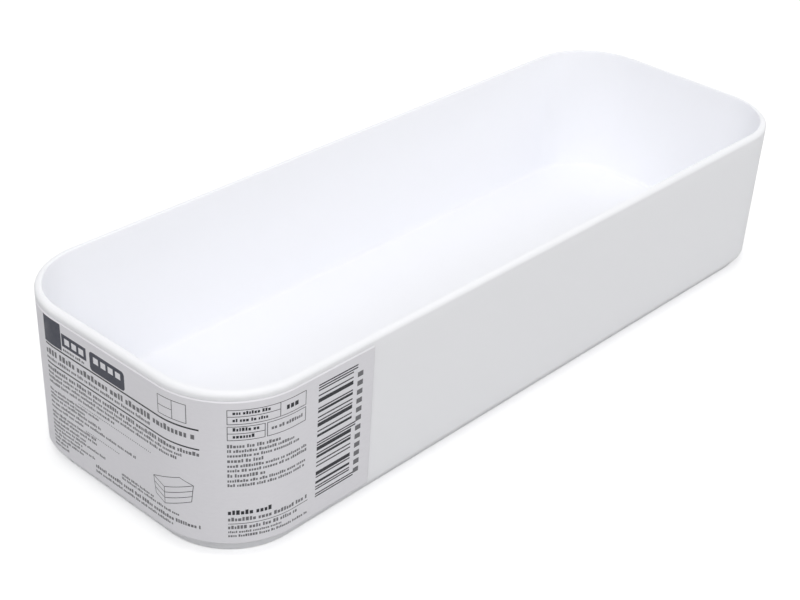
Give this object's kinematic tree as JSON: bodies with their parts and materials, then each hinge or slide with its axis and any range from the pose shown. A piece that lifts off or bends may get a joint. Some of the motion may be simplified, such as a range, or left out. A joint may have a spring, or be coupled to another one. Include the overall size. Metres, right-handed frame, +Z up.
{
  "type": "stackable storage box",
  "caption": "Low open storage box with large rounded corners, drafted walls, a rounded rim and a recessed foot ring for stacking, with a printed label wrapped round one end.",
  "frame": {"origin": "under the middle of the box, in the plane of the foot ring's underside", "axes": "+X along the length, away from the labelled end; +Y across the width, away from the labelled side; +Z up, out of the open top"},
  "size_m": [0.2152, 0.0762, 0.043],
  "materials": {
    "white_polypropylene": "satin moulded white",
    "label_film": "matt white label stock with dark print"
  },
  "bodies": {
    "root": {"box": "white_polypropylene", "label": "label_film"}
  },
  "joints": []
}
